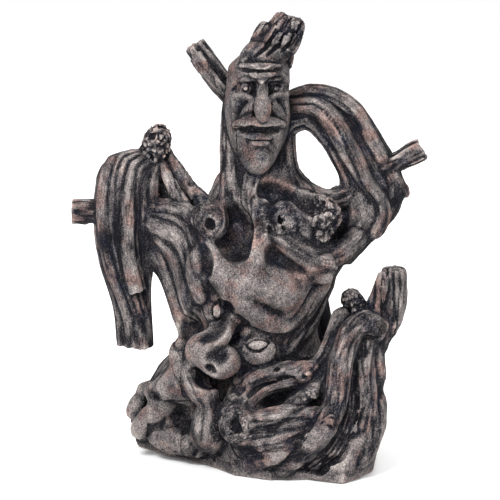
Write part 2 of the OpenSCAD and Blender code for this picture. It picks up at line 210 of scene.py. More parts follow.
class Strand:
    """The centre line, radius and sideways directions of one rolled strand."""

    def __init__(self, rings):
        body = rings[2:-2]
        self.c = np.array([r.mean(0) for r in body])
        spread = [np.linalg.norm(r - r.mean(0), axis=1) for r in body]
        self.r = np.array([s.mean() for s in spread])
        self.round = max(s.std() / s.mean() for s in spread) < ROUND_SPREAD
        along = unit(np.gradient(self.c, axis=0))
        side = body[0][0] - self.c[0]
        sides = []
        for t in along:
            side = unit(side - (side @ t) * t)
            sides.append(side)
        self.n = np.array(sides)
        self.b = np.cross(along, self.n)
        steps = np.linalg.norm(np.diff(self.c, axis=0), axis=1)
        self.u = np.concatenate([[0], np.cumsum(steps)])
        self.ends = []
        for pole, k, out in ((rings[0][0], 0, -along[0]), (rings[-1][0], -1, along[-1])):
            cut = np.linalg.norm(pole - self.c[k]) < FLAT_END * self.r[k]
            self.ends.append((pole, out, cut, k))

    def follow(self, points):
        """Straightened coordinates (sideways, sideways, along, radius) and distance to the skin."""
        best = np.full(len(points), 1e9)
        out = np.zeros((len(points), 4), np.float32)
        for i in range(len(self.c) - 1):
            span = self.c[i + 1] - self.c[i]
            t = np.clip((points - self.c[i]) @ span / (span @ span), 0, 1)
            q = points - self.c[i] - t[:, None] * span
            r = self.r[i] + t * (self.r[i + 1] - self.r[i])
            d = np.linalg.norm(q, axis=1) - r
            n = self.n[i] + t[:, None] * (self.n[i + 1] - self.n[i])
            b = self.b[i] + t[:, None] * (self.b[i + 1] - self.b[i])
            row = np.stack([(q * n).sum(1), (q * b).sum(1),
                            self.u[i] + t * (self.u[i + 1] - self.u[i]), r], 1)
            near = d < best
            best[near] = d[near]
            out[near] = row[near]
        return out, best


class Piece:
    """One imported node: the strands that its round tubes were swept along, and its other solids."""

    def __init__(self, name):
        self.points, tri = welded(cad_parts[name])
        self.low, self.high = self.points.min(0), self.points.max(0)
        self.strands, self.loose = [], []
        label = islands(len(self.points), tri)
        for mark in np.unique(label[tri[:, 0]]):
            part = tri[label[tri[:, 0]] == mark]
            used, flat = np.unique(part, return_inverse=True)
            rings = rings_of(self.points[used], flat.reshape(-1, 3))
            strand = Strand(rings) if rings else None
            if strand:
                self.strands.append(strand)
            if not strand or not strand.round:
                self.loose.append(part)


PIECES = {name: Piece(name) for name in sorted(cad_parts)}


# ---------------------------------------------------------------- how each piece is worked

# order: when it is laid on. blend: fillet to what was laid on before it.
# fibre, groove: spacing and depth of the tooled lines. lump: uneven thickness.
# burl, crumb: depth and size of torn crumbs. torn_from: share of the width where they start.
# soften: rounding of a mass. reach: how far round it the field is worked out, for added clay.
# shrink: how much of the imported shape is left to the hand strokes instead.
STYLES = {
    "base_plinth": dict(order=0, blend=8, lump=0.5, soften=0),
    "base_mound": dict(order=0, blend=14, lump=1.4, soften=3, reach=34),
    "trunk_core": dict(order=0, blend=18, lump=1.0, soften=3, reach=34),
    "torso": dict(order=0, blend=18, lump=1.2, soften=3),
    "torso_lobe": dict(order=1, blend=10, lump=1.2, soften=3),
    "head": dict(order=1, blend=4, lump=0.4, soften=2),
    "neck_": dict(order=1, blend=12, fibre=7, groove=0.7, lump=0.7),
    "upper_arm": dict(order=1, blend=10, groove=0.6, lump=0.7),
    "under_arm": dict(order=1, blend=14, groove=0.7, lump=0.8),
    "elbow_bulge": dict(order=2, blend=8, lump=0.5),
    "shoulder_burl": dict(order=2, blend=12, burl=1.1, torn_from=0.5, crumb=3.2, lump=0.6),
    "collar_strap": dict(order=2, blend=12, groove=0.4, lump=0.6),
    "chest_knots": dict(shrink=3, order=2, blend=12, burl=0.2, crumb=3.0, lump=0.5),
    "arm_web": dict(order=1, blend=12, lump=0.8, soften=2),
    "burl_stems": dict(order=2, blend=6, groove=0.6, lump=0.5),
    "top_burl": dict(order=3, blend=5, burl=2.0, lump=0.6),
    "left_arm_": dict(order=2, blend=10, fibre=9, groove=0.7, lump=0.6),
    "right_arm_": dict(order=2, blend=6, fibre=7, groove=0.9, lump=0.6),
    "drape_": dict(order=2, blend=5, fibre=8, groove=0.7, lump=0.5),
    "side_stub": dict(order=3, blend=2, fibre=4.5, groove=1.3, lump=0.5),
    "elbow_stub": dict(order=3, blend=3, fibre=4, groove=1.3, lump=0.5, soften=1),
    "rear_branch": dict(order=2, blend=3, fibre=4.5, groove=1.5, lump=0.5),
    "crest_": dict(order=2, blend=4, fibre=4, groove=1.2, lump=0.4),
    "brow_fold": dict(shrink=4.5, order=2, blend=3, lump=0.2),
    "head_eyes": dict(shrink=4.5, order=3, blend=2, lump=0.1),
    "nose": dict(shrink=3.2, order=3, blend=4, lump=0.2),
    "moustache": dict(shrink=4, order=3, blend=3, lump=0.2),
    "lips": dict(shrink=3, order=3, blend=2.5, lump=0.15),
    "trunk_nose": dict(shrink=1.5, order=2, blend=12, lump=0.5, soften=1, reach=20),
    "trunk_eyes": dict(shrink=6.8, order=2, blend=14, lump=0.2),
    "left_root_": dict(order=1, blend=14, fibre=9, groove=0.3, lump=0.6),
    "root_knots": dict(order=3, blend=6, burl=1.2, crumb=3.4, lump=1.0),
    "root_": dict(order=2, blend=8, fibre=4.5, groove=0.5, lump=0.7),
    "tall_stub": dict(order=1, blend=8, groove=1.3, lump=0.7, soften=1),
    "knot_collar": dict(order=3, blend=10, burl=0.4, crumb=2.8, lump=0.4),
    "back_strands": dict(order=1, blend=10, groove=1.1, lump=0.8),
}


def style(name, key, default=0.0):
    match = max((k for k in STYLES if name.startswith(k)), key=len)
    return STYLES[match].get(key, default)


HEAD_PIECES = [n for n in PIECES if n.startswith(("head", "crest_", "brow_fold", "nose",
                                                  "moustache", "lips"))]
BODY_PIECES = [n for n in PIECES if n not in HEAD_PIECES]
BUILD_ORDER = sorted(PIECES, key=lambda n: (style(n, "order"), n))
INDEX = {name: i for i, name in enumerate(BUILD_ORDER)}


# ---------------------------------------------------------------- fields

def slide(a, r, axis):
    """Running mean over 2 r + 1 cells along one axis."""
    pad = [(0, 0)] * 3
    pad[axis] = (r, r)
    wide = np.pad(a, pad, mode="edge")
    n = a.shape[axis]
    total = 0
    for k in range(2 * r + 1):
        cut = [slice(None)] * 3
        cut[axis] = slice(k, k + n)
        total = total + wide[tuple(cut)]
    return (total / (2 * r + 1)).astype(np.float32)


def blur(a, r, passes=2):
    for _ in range(passes):
        for axis in range(3):
            a = slide(a, r, axis)
    return a


def soft_min(a, b, k):
    h = np.clip(k - np.abs(a - b), 0, None) / k
    return np.minimum(a, b) - h * h * k / 4


def overlap(box, window):
    """The range that two windows share along each axis, or None."""
    if not box:
        return None
    cut = [(max(p.start, q.start), min(p.stop, q.stop)) for p, q in zip(box, window)]
    return None if any(e - s < 1 for s, e in cut) else cut


class Field:
    """A box of voxels that holds the blended skin and which piece owns each voxel."""

    def __init__(self, low, high, step, names):
        self.step = step
        self.cell = np.floor(np.array(low) / step).astype(int)
        shape = np.ceil(np.array(high) / step).astype(int) - self.cell + 1
        self.shape = shape
        self.skin = np.full(shape, FAR, np.float32)
        self.near = self.skin.copy()
        self.next = self.skin.copy()
        self.owner = np.full(shape, -1, np.int16)
        self.own = {}
        for name in BUILD_ORDER:
            piece = PIECES[name]
            reach = style(name, "reach", REACH)
            window = self.window(piece.low - reach, piece.high + reach)
            if window:
                self.add(name, window, name in names)

    def window(self, low, high):
        a = np.maximum(np.floor(np.array(low) / self.step).astype(int) - self.cell, 0)
        b = np.minimum(np.ceil(np.array(high) / self.step).astype(int) - self.cell + 1, self.shape)
        if (b - a < 2).any():
            return None
        return tuple(slice(i, j) for i, j in zip(a, b))

    def places(self, window):
        """Voxel centres of a window, as three broadcastable axes."""
        axes = []
        for k, cut in enumerate(window):
            line = (np.arange(cut.start, cut.stop) + self.cell[k]) * self.step
            form = [1, 1, 1]
            form[k] = len(line)
            axes.append(line.astype(np.float32).reshape(form))
        return axes

    def add(self, name, window, keep):
        piece = PIECES[name]
        d = np.full([c.stop - c.start for c in window], FAR, np.float32)
        for part in piece.loose:
            d = np.minimum(d, self.shell(name, part, window))
        for strand in piece.strands:
            if strand.round:
                self.tube(strand, d, window, style(name, "reach", REACH))
        d[d > style(name, "reach", REACH) - 0.5] = FAR
        skin, near, after = self.skin[window], self.near[window], self.next[window]
        skin[...] = soft_min(skin, d + style(name, "shrink"), style(name, "blend"))
        closer = d < near
        after[...] = np.where(closer, near, np.minimum(after, d))
        near[...] = np.minimum(near, d)
        self.owner[window][closer] = INDEX[name]
        if keep:
            self.own[name] = (window, d)

    def shell(self, name, part, window):
        """Distance to a mesh solid, rounded by the style's soften."""
        piece, soften = PIECES[name], style(name, "soften")
        turn = vdb.createLinearTransform(voxelSize=self.step)
        used, flat = np.unique(part, return_inverse=True)
        wide = style(name, "reach", REACH) / self.step
        grid = vdb.FloatGrid.createLevelSetFromPolygons(
            piece.points[used].astype(np.float32),
            triangles=flat.reshape(-1, 3).astype(np.uint32), transform=turn, halfWidth=wide)
        d = np.zeros([c.stop - c.start for c in window], np.float32)
        grid.copyToArray(d, ijk=tuple(int(c.start + k) for c, k in zip(window, self.cell)))
        if soften:
            d = blur(d, max(1, round(soften * 0.7 / self.step)))
        return d

    def tube(self, strand, d, window, reach):
        """Adds a chain of tapered capsules to d, with its cut ends torn off."""
        for i in range(len(strand.c) - 1):
            a, b = strand.c[i], strand.c[i + 1]
            ra, rb = strand.r[i], strand.r[i + 1]
            pad = max(ra, rb) + reach
            box = self.window(np.minimum(a, b) - pad, np.maximum(a, b) + pad)
            cut = overlap(box, window)
            if not cut:
                continue
            x, y, z = self.places([slice(s, e) for s, e in cut])
            v = b - a
            x, y, z = x - a[0], y - a[1], z - a[2]
            t = np.clip((x * v[0] + y * v[1] + z * v[2]) / (v @ v), 0, 1)
            gap = np.sqrt((x - t * v[0]) ** 2 + (y - t * v[1]) ** 2 + (z - t * v[2]) ** 2)
            gap = gap - ra - t * (rb - ra)
            local = tuple(slice(s - w.start, e - w.start) for (s, e), w in zip(cut, window))
            d[local] = np.minimum(d[local], gap)
        for pole, out, is_cut, k in strand.ends:
            if is_cut:
                self.tear(strand, d, window, pole, out, k)

    def tear(self, strand, d, window, pole, out, k):
        """Ends a strand in a torn face: each fibre bundle breaks at its own length."""
        reach = strand.r[k] * TEAR_REACH
        box = self.window(pole - reach, pole + reach)
        cut = overlap(box, window)
        if not cut:
            return
        x, y, z = np.broadcast_arrays(*self.places([slice(s, e) for s, e in cut]))
        p = np.stack([x.ravel(), y.ravel(), z.ravel()], 1) - pole
        height = p @ out
        flat = p - height[:, None] * out
        rag = noise(flat, 3.0, 1) * 1.1 + noise(flat, 7.0, 2) * 1.5
        face = (height + TEAR_SET + rag).reshape(x.shape)
        beyond = (height > -strand.r[k]).reshape(x.shape)
        local = tuple(slice(s - w.start, e - w.start) for (s, e), w in zip(cut, window))
        d[local] = np.where(beyond, np.maximum(d[local], face), d[local])

    def front(self, x, z):
        """The Y of the first clay met from the front at a place, or None."""
        i = int(round(x / self.step)) - self.cell[0]
        k = int(round(z / self.step)) - self.cell[2]
        if not (0 <= i < self.shape[0] and 0 <= k < self.shape[2]):
            return None
        line = self.skin[i, :, k]
        inside = np.argmax(line < 0)
        if line[inside] >= 0 or inside == 0:
            return None
        gap = line[inside - 1] / (line[inside - 1] - line[inside])
        return (inside - 1 + gap + self.cell[1]) * self.step

    def rod(self, a, b, radii, blend, cut):
        """Adds a tapered capsule of clay from a to b, or cuts it away."""
        reach = max(radii) + blend + 1
        window = self.window(np.minimum(a, b) - reach, np.maximum(a, b) + reach)
        if not window:
            return
        x, y, z = self.places(window)
        v = b - a
        x, y, z = x - a[0], y - a[1], z - a[2]
        t = np.clip((x * v[0] + y * v[1] + z * v[2]) / (v @ v), 0, 1)
        gap = np.sqrt((x - t * v[0]) ** 2 + (y - t * v[1]) ** 2 + (z - t * v[2]) ** 2)
        self.work(window, gap - radii[0] - t * (radii[1] - radii[0]), blend, cut)

    def work(self, window, gap, blend, cut):
        """Blends clay whose distance is gap into the skin, or cuts it away."""
        skin = self.skin[window]
        skin[...] = -soft_min(-skin, gap, blend) if cut else soft_min(skin, gap, blend)

    def stand(self, level):
        """Cuts the skin off flat where the piece stands."""
        z = (np.arange(self.shape[2]) + self.cell[2]) * self.step
        np.maximum(self.skin, (level - z).astype(np.float32), out=self.skin)

    def survey(self):
        """Works out how ridged each voxel is, and how deep it lies in wide and in narrow hollows; the
        hollow depths later darken the colour as painted shade.
        """
        near = np.clip(self.skin, -8, 8)
        self.ridge = blur(near, max(1, round(RIDGE_SPAN / self.step))) - near
        self.coarse = max(1, round(HOLLOW_STEP / self.step))
        thin = self.skin[::self.coarse, ::self.coarse, ::self.coarse]
        solid = np.clip(0.5 - thin / (2 * self.step * self.coarse), 0, 1).astype(np.float32)
        self.sunk = blur(solid, 3, 3)
        self.dip = blur(solid, 1, 3)

    def read(self, values, points, scale=1):
        """Trilinear values at points; scale is the voxels per cell of values."""
        q = (points / self.step - self.cell) / scale
        q = np.clip(q, 0, np.array(values.shape) - 1.001)
        i = q.astype(int)
        f = q - i
        total = 0
        for ox in (0, 1):
            for oy in (0, 1):
                for oz in (0, 1):
                    w = (np.abs(1 - ox - f[:, 0]) * np.abs(1 - oy - f[:, 1])
                         * np.abs(1 - oz - f[:, 2]))
                    total = total + w * values[i[:, 0] + ox, i[:, 1] + oy, i[:, 2] + oz]
        return total

    def mesh(self, name):
        """The closed mesh of the part of the skin that a piece owns, coarser where it is flat."""
        window, d = self.own[name]
        mine = self.owner[window] == INDEX[name]
        other = np.where(mine, self.next[window], self.near[window])
        split = 0.5 * (d - other)
        sink = SEAM_TUCK * ease(split, -SEAM_HALF, SEAM_HALF)
        f = np.maximum(self.skin[window] + sink, split - SEAM_HALF)
        limit = BAND * self.step
        f = np.clip(f, -limit, limit).astype(np.float32)
        grid = vdb.FloatGrid(limit)
        grid.copyFromArray(f, ijk=tuple(int(c.start + k) for c, k in zip(window, self.cell)))
        grid.transform = vdb.createLinearTransform(voxelSize=self.step)
        grid.gridClass = vdb.GridClass.LEVEL_SET
        points, faces, quads = grid.convertToPolygons(0.0, ADAPTIVITY)
        faces = np.concatenate([faces.reshape(-1, 3), quads[:, (0, 1, 2)], quads[:, (0, 2, 3)]])
        return tidy_mesh(np.asarray(points, np.float64), faces.astype(np.int64))


def tidy_mesh(points, faces):
    """Keeps the large islands and turns the faces outwards."""
    label = islands(len(points), faces)
    marks, counts = np.unique(label, return_counts=True)
    big = marks[counts > max(SCRAP_POINTS, SCRAP_SHARE * len(points))]
    faces = faces[np.isin(label[faces[:, 0]], big)]
    used, flat = np.unique(faces, return_inverse=True)
    points, faces = points[used], flat.reshape(-1, 3)
    a, b, c = (points[faces[:, k]] for k in range(3))
    volume = (np.cross(a, b) * c).sum()
    return points, faces if volume > 0 else faces[:, ::-1]


# ---------------------------------------------------------------- tooling marks

def grain_of(name, points):
    """Coordinates squeezed along the strand, so that noise in them reads as fibre."""
    piece = PIECES[name]
    if not piece.strands or not style(name, "groove"):
        return points * (UPRIGHT_GRAIN if style(name, "groove") else LOOSE_GRAIN)
    rows = np.zeros((len(points), 4), np.float32)
    best = np.full(len(points), 1e9)
    for k, strand in enumerate(piece.strands):
        row, d = strand.follow(points)
        near = d < best
        best[near] = d[near]
        rows[near] = row[near] + (0, 0, STRAND_SHIFT * k, 0)
    grow = rows[:, 3].mean() / np.maximum(rows[:, 3], 1)
    shift = PIECE_SHIFT * INDEX[name]
    return np.stack([rows[:, 0] * grow + shift, rows[:, 1] * grow, rows[:, 2] * STRAND_GRAIN], 1)


def relief(name, points):
    """How far tooling moves the skin outwards, and how deep in a groove each point lies."""
    grain = grain_of(name, points)
    move = style(name, "lump") * fractal(points, 17.0, 0)
    valley = np.zeros(len(points), np.float32)
    depth = style(name, "groove")
    if depth:
        wave = style(name, "fibre", 5.0)
        bold = np.abs(noise(grain, wave, 1))
        fine = np.abs(noise(grain, wave * 0.5, 2))
        bold = 1 - ease(bold, 0.0, 0.30)
        fine = 1 - ease(fine, 0.0, 0.35)
        valley = np.maximum(bold, 0.5 * fine)
        move = move + depth * (0.3 - bold) + 0.4 * depth * (0.3 - fine)
    burl = style(name, "burl")
    if burl:
        crumb, pits = crumble(name, points)
        move = move + burl * crumb
        valley = np.maximum(valley, pits)
    return move + 0.16 * noise(points, 2.6, 3), valley


def crumble(name, points):
    """The torn, pitted surface of a burl, from a share of its width on."""
    piece = PIECES[name]
    first, second = crumbs(points + noise(points, 5, 1)[:, None], style(name, "crumb", 4.4))
    edge = second - first
    move = 0.8 * ease(edge, 0.0, 0.35) - 0.6 + 0.5 * noise(points, 2.2, 3)
    start = piece.low[0] + style(name, "torn_from", -1.0) * (piece.high[0] - piece.low[0])
    share = ease(points[:, 0], start - 2, start + 7)
    pits = 1 - ease(edge, 0.05, 0.28)
    holes = ease(noise(points, 6.0, 2), 0.25, 0.6)
    return (move - 1.6 * holes) * share, np.maximum(pits, holes) * share


def texture(field):
    """Works the tooling marks of every piece into the shared skin."""
    field.groove = np.zeros(field.shape, np.float32)
    band = np.argwhere(np.abs(field.skin) < TOOLED)
    spots = tuple(band.T)
    owner = field.owner[spots]
    fade = ease(field.next[spots] - field.near[spots], 0.0, SEAM_FADE)
    move = np.zeros(len(band), np.float32)
    valley = np.zeros(len(band), np.float32)
    points = (band + field.cell) * field.step
    for mark in np.unique(owner):
        if mark < 0:
            continue
        pick = owner == mark
        move[pick], valley[pick] = relief(BUILD_ORDER[mark], points[pick].astype(np.float32))
    crease = SEAM_CREASE * (1 - fade)
    field.skin[spots] -= move * (0.35 + 0.65 * fade) - crease
    field.groove[spots] = np.maximum(valley * fade, 0.7 * (1 - fade))


# ---------------------------------------------------------------- modelling by hand

class Hand:
    """Adds and cuts clay along strokes on the front of the skin.

    Points are X and Z offsets in millimetres from the middle of a piece's box, and the depth is
    read off the skin. lift is how far the stroke stands proud, or cuts in where it is negative.
    taper is the share of the radius that is left at both ends of a stroke.
    """

    def __init__(self, field, piece):
        self.field = field
        self.middle = (PIECES[piece].low + PIECES[piece].high) / 2

    def stroke(self, radius, lift, blend, *points, taper=0.5):
        """Draws one stroke through the points; a single point makes a dab."""
        path = [points[0]]
        for p, q in zip(points, points[1:]):
            count = max(1, round(math.dist(p, q) / STROKE_STEP))
            path += [np.add(p, np.subtract(q, p) * (k + 1) / count) for k in range(count)]
        spots = []
        for k, (dx, dz) in enumerate(path):
            x, z = self.middle[0] + dx, self.middle[2] + dz
            y = self.field.front(x, z)
            if y is not None:
                swell = 1 - (1 - taper) * abs(2 * k / max(1, len(path) - 1) - 1) ** 2
                spots.append((x, y, z, swell))
        if len(spots) < 2:
            spots = [(x, y, z, 1.0) for x, y, z, _ in spots for _ in (0, 1)]
        if not spots:
            return
        spots = np.array(spots)
        level = np.median(spots[:, 1])
        spots[:, 1] = np.clip(spots[:, 1], level - STROKE_JUMP, level + STROKE_JUMP)
        for _ in range(STROKE_EVENINGS):
            spots[1:-1, 1] = (spots[:-2, 1] + 2 * spots[1:-1, 1] + spots[2:, 1]) / 4
        out = (radius - lift) if lift > 0 else -(radius + lift)
        spots[:, 1] += out * spots[:, 3]
        spots[1:, :3] += NUDGE
        for a, b in zip(spots, spots[1:]):
            radii = (radius * a[3], radius * b[3])
            self.field.rod(a[:3], b[:3], radii, blend, lift < 0)

    def ring(self, radius, lift, blend, centre, wide, tall, tilt=0.0):
        """A stroke round an oval."""
        points = []
        turn = math.radians(tilt)
        for k in range(RING_DABS + 1):
            a = 2 * math.pi * k / RING_DABS
            x, z = wide * math.cos(a), tall * math.sin(a)
            points.append((centre[0] + x * math.cos(turn) - z * math.sin(turn),
                           centre[1] + x * math.sin(turn) + z * math.cos(turn)))
        self.stroke(radius, lift, blend, *points, taper=1.0)

    def lump(self, place, size, blend, cut=False):
        """Adds an oval mass at an offset from the middle of the box, or cuts it away."""
        centre = self.middle + np.array(place, float)
        size = np.array(size, float)
        reach = size.max() + blend + 2
        window = self.field.window(centre - reach, centre + reach)
        if window:
            x, y, z = self.field.places(window)
            k = np.sqrt(((x - centre[0]) / size[0]) ** 2 + ((y - centre[1]) / size[1]) ** 2
                        + ((z - centre[2]) / size[2]) ** 2)
            self.field.work(window, (k - 1) * size.min(), blend, cut)


def carve_torso(field):
    """The chest, the shoulders and the lobe that hangs under them."""
    chest = Hand(field, "torso")
    chest.stroke(7, 3.5, 8, (-46, -12), (-49, -25), (-44, -40), (-30, -58), (-12, -78), (4, -90))
    chest.stroke(7, 3.0, 8, (-9, 4), (-8, -20), (-11, -36), (-17, -46))
    chest.stroke(6, 2.5, 8, (45, -40), (36, -62), (23, -80), (10, -92))
    chest.stroke(10.5, -11, 9, (-30, -6), (-28, -16), (-26, -27), taper=0.8)
    chest.stroke(9, -9, 4, (-5, 15), (8, 11), (22, 9), (38, 7), taper=0.6)
    chest.stroke(9, -3.5, 8, (4, -32), (18, -33), (28, -38), taper=0.6)
    chest.stroke(10, 2.0, 10, (-22, -52), (-4, -56), (12, -64), taper=0.7)
    chest.stroke(6, 2.5, 7, (8, -18), (20, -30), (34, -40), (44, -38))
    chest.stroke(6, -3.5, 4, (-55, -28), (-52, -48))
    chest.stroke(5, 2.0, 6, (-60, -35), (-56, -60), (-54, -75))
    chest.stroke(8, 3.0, 7, (10, 0), (14, -10), (26, -14), taper=0.9)
    chest.stroke(2.4, -6, 1.2, (6.5, -1), (8, -6), (9.5, -12))
    chest.stroke(2.0, -3, 1.2, (-2, -9), (0, -14))
    chest.stroke(8, 1.0, 9, (-50, -2), (-46, -12), taper=0.9)
    chest.stroke(3.0, -5, 2, (-49, -5), (-47, -11))
    elbow = Hand(field, "elbow_bulge")
    elbow.lump((-9, 10, -2), (17, 9, 24), 6)


def carve_trunk(field):
    """The sleeping face on the trunk, and the folds round it."""
    trunk = Hand(field, "trunk_core")
    trunk.stroke(7, -3, 7, (-44, 12), (-51, -2), (-53, -18))
    trunk.stroke(7, 2.5, 9, (-59, -22), (-50, -36), (-38, -52), taper=0.8)
    trunk.stroke(7, -2.5, 8, (-43, -33), (-34, -36), (-24, -37), taper=0.8)
    trunk.stroke(6, -2.5, 7, (-9, 8), (-17, -5), (-12, -14))
    trunk.stroke(6, 1.0, 6, (-12, 11), (-23, 1), (-35, -10), taper=0.9)
    trunk.stroke(9, 2, 8, (-40, -12), (-43, -18), taper=0.9)
    trunk.stroke(8, 2.5, 8, (-36, -20), (-26, -26), (-16, -23), taper=0.8)
    trunk.stroke(5, -2.0, 5, (-34, -19), (-27, -17), (-22, -14), taper=0.6)
    trunk.stroke(3.2, -4.5, 2, (-37, -26), (-31, -30))
    trunk.stroke(9, 3, 8, (-4, -20), (8, -20), taper=0.9)
    trunk.stroke(6, -3, 5, (-20, 22), (-30, 4), (-40, -2))
    trunk.stroke(7, 2.5, 5, (-28, 24), (-32, 12), taper=0.9)
    trunk.stroke(4, 2.5, 2, (-28, 21), (-29.5, 13), taper=0.7)
    trunk.stroke(1.0, -2.0, 0.8, (-27, 25.5), (-32.5, 19), (-32, 12), (-29, 8), taper=0.8)
    trunk.stroke(1.0, -2.0, 0.8, (-27, 25.5), (-25, 18), (-26, 12), (-29, 8), taper=0.8)
    trunk.stroke(4.5, 1.4, 2.5, (-1, -11.5), (7, -11), taper=0.8)
    trunk.stroke(1.1, -2.2, 0.8, (-6, -12), (-1, -7.5), (5, -6.5), (12.5, -10.5), taper=0.8)
    trunk.stroke(1.1, -2.2, 0.8, (-6, -12), (-1, -16), (5, -16), (12.5, -10.5), taper=0.8)
    trunk.stroke(4, 1.5, 4, (-8, -4), (2, -1), (14, -5))


def carve_base(field):
    """Folds, hollows and the knot hole of the rooted base."""
    base = Hand(field, "base_mound")
    # the right end is trimmed, and the left end is built up and hollowed
    base.lump((156, -20, 18), (60, 90, 60), 8, cut=True)
    base.lump((-60, 8, 2), (26, 32, 36), 12)
    base.stroke(11, 3, 9, (-60, 26), (-58, 12), taper=0.9)
    base.stroke(10, 3, 9, (-78, -24), (-60, -27), (-44, -24), taper=0.9)
    base.stroke(9, 2, 10, (-36, 0), (-38, -20), taper=0.9)
    base.stroke(7.5, -4, 7, (-62, -4), (-61, -11), taper=0.9)
    base.stroke(7, -3, 6, (-90, -2), (-88, -8), taper=0.9)
    base.stroke(6, 4.5, 6, (-66, 27), (-74, 15), (-74, 5), (-85, -10), (-96, -24), taper=0.7)
    base.stroke(5, 3, 6, (-70, 24), (-80, 13), (-93, 4), (-100, -12), taper=0.7)
    base.stroke(9, 3, 7, (-4, -8), (8, -16), taper=0.8)
    # pits along the lower edge
    for k in range(11):
        pit = (-86 + 5.2 * k, -35 - 0.5 * k + 3 * (k % 2))
        base.stroke(1.0 + 0.4 * (k % 3), -1.8, 0.8, pit)
    # the roots that cross the front, with the gaps between them
    base.stroke(6, 4, 5, (44, 40), (22, 36), (5, 32), (-11, 23), (-18, 12), (-24, 3), taper=0.7)
    base.stroke(1.4, -3, 1, (34, 36), (18, 32), (4, 27), (-7, 18))
    base.stroke(4, -6, 3, (6, 12), (22, 15), taper=0.5)
    base.stroke(5, -7, 3, (42, 12), (54, 14))
    base.stroke(5, 3.5, 4, (46, 26), (34, 15), (20, 6), (4, 3), (-6, 0), taper=0.8)
    base.stroke(6, 3.5, 5, (55, 7), (40, 3), (26, -5), (9, -22), taper=0.7)
    base.stroke(5, 3, 5, (50, -7), (34, -14), (18, -23), (3, -32), taper=0.7)
    # the ribbons that sweep down the right end, and the grooves between the first two
    inner = ((98, 73), (86, 79), (75, 72), (67, 48), (64, 30),
             (61, 12), (53, -5), (38, -22), (20, -36))
    middle = ((96, 68), (88, 62), (86, 52), (85, 42), (86, 26),
              (88, 7), (84, -12), (74, -28), (58, -41))
    outer = ((94, 58), (95, 40), (96, 20), (95, -6), (88, -24), (80, -34), (70, -42))
    for share in (0.28, 0.4, 0.52, 0.63, 0.74):
        sweep = [np.add(p, share * np.subtract(q, p)) for p, q in zip(inner[3:], middle[3:])]
        base.stroke(2.5, -1.0, 3, *sweep, taper=0.8)
        base.stroke(0.9, -1.8, 0.8, *sweep, taper=0.6)
    base.stroke(2.0, -4, 1.5, (92, 40), (92, 28), (92, 18))
    base.stroke(5.5, 2.5, 5, *outer, taper=0.8)
    base.stroke(5.5, 3.5, 5, *middle, taper=0.8)
    base.stroke(6.5, 5, 5, *inner, taper=0.8)
    base.stroke(2.2, -3.5, 1.2, (14, 38.5), (18, 40))
    base.stroke(4.5, 2.5, 4, (36, 33), (40, 37))
    base.stroke(1.8, -2.5, 1, (37, 36), (39, 34))
    knots = Hand(field, "root_knots")
    knots.lump((6, 0, -6), (13, 10, 9), 6)
    # the knot hole: rim, hollow and pitted core
    collar = Hand(field, "knot_collar")
    collar.ring(3.2, 1.0, 6, (-1, 1), 8.5, 9.8, 25)
    collar.stroke(7.8, -3.2, 1.2, (-1.6, 1), (-0.4, 0))
    collar.stroke(7.2, 4.4, 0.8, (-1.6, 1), (-0.4, 0))
    for pit in ((-4, 4), (1, 4), (3, -1), (-5, -1), (-1, -4)):
        collar.stroke(1.2, -1.4, 0.6, pit)


